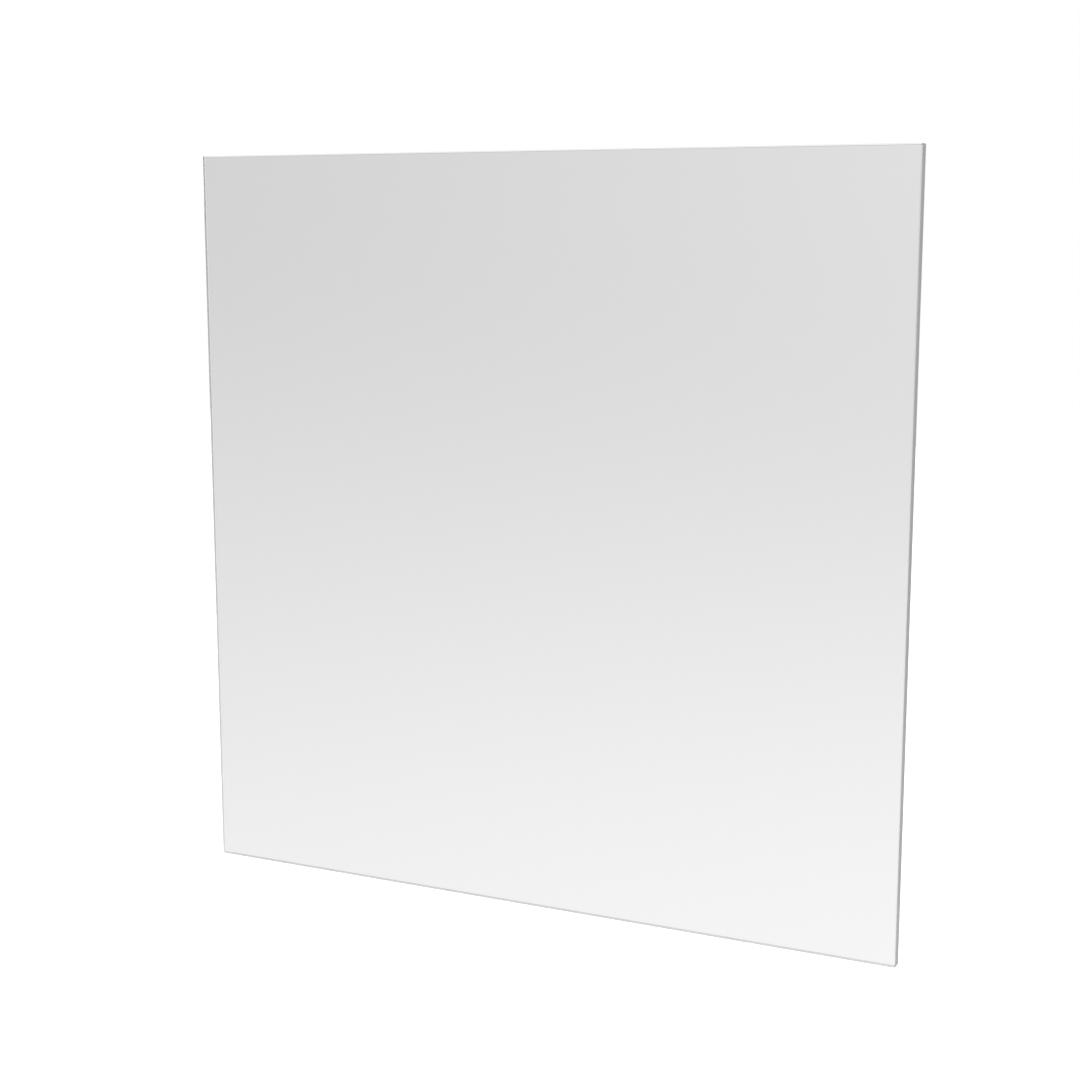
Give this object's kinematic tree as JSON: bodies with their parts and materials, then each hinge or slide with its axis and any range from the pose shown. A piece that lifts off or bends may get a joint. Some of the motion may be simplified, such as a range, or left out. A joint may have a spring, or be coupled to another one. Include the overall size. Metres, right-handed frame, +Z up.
{
  "type": "traffic mirror",
  "caption": "Flat square frameless traffic mirror on a pan-and-tilt rear bracket with a pole clamp.",
  "frame": {"origin": "centre of the pole clamp's bore", "axes": "+Z up along the pole, the mirror faces -Y, +X to the right as seen facing the mirror"},
  "size_m": [0.6, 0.189, 0.6],
  "materials": {
    "acrylic_pane": "polished",
    "mirror_film": "polished",
    "foam_tape": "matte",
    "coil_coated_aluminium": "satin",
    "polyethylene_core": "matte",
    "anodised_aluminium": "satin",
    "black_polyethylene": "satin",
    "stainless_steel": "satin",
    "zinc_plated_steel": "satin",
    "galvanised_steel": "satin",
    "cast_iron": "matte",
    "acetal": "satin",
    "epdm_rubber": "matte"
  },
  "bodies": {
    "pole_bracket": {"clamp_saddle": "galvanised_steel", "upper_lug": "galvanised_steel", "lower_lug": "galvanised_steel", "saddle_liner": "epdm_rubber", "clamp_bolts": "zinc_plated_steel", "pan_bolt": "zinc_plated_steel", "pan_bolt_washers": "zinc_plated_steel", "pan_lock_nut": "zinc_plated_steel"},
    "swivel_link": {"swivel_knuckle": "cast_iron", "tilt_friction_washers": "acetal", "pan_friction_washers": "acetal"},
    "mirror_head": {"mirror_pane": "acrylic_pane", "reflective_coating": "mirror_film", "perimeter_seal_tape": "foam_tape", "bond_tape_strips": "foam_tape", "panel_front_skin": "coil_coated_aluminium", "panel_core": "polyethylene_core", "panel_rear_skin": "coil_coated_aluminium", "upper_rail": "anodised_aluminium", "lower_rail": "anodised_aluminium", "rail_end_caps": "black_polyethylene", "rail_screws": "stainless_steel", "rail_nuts": "stainless_steel", "tilt_bracket": "galvanised_steel", "channel_bolts": "zinc_plated_steel", "channel_bolt_washers": "zinc_plated_steel", "channel_bolt_nuts": "zinc_plated_steel", "tilt_bolt": "zinc_plated_steel", "tilt_bolt_washers": "zinc_plated_steel", "tilt_lock_nut": "zinc_plated_steel"},
    "clamp_strap": {"clamp_strap": "galvanised_steel", "strap_liner": "epdm_rubber", "clamp_washers": "zinc_plated_steel", "clamp_nuts": "zinc_plated_steel"}
  },
  "joints": [
    {"name": "pan", "type": "hinge", "parent": "pole_bracket", "child": "swivel_link", "pos_m": [0, -0.06165, 0], "axis": [0, 0, 1], "range_deg": [-45, 45]},
    {"name": "tilt", "type": "hinge", "parent": "swivel_link", "child": "mirror_head", "pos_m": [0, -0.09565, 0], "axis": [1, 0, 0], "range_deg": [-15, 15]},
    {"name": "strap_release", "type": "slide", "parent": "pole_bracket", "child": "clamp_strap", "axis": [0, 1, 0], "range_m": [0, 0.016]}
  ]
}
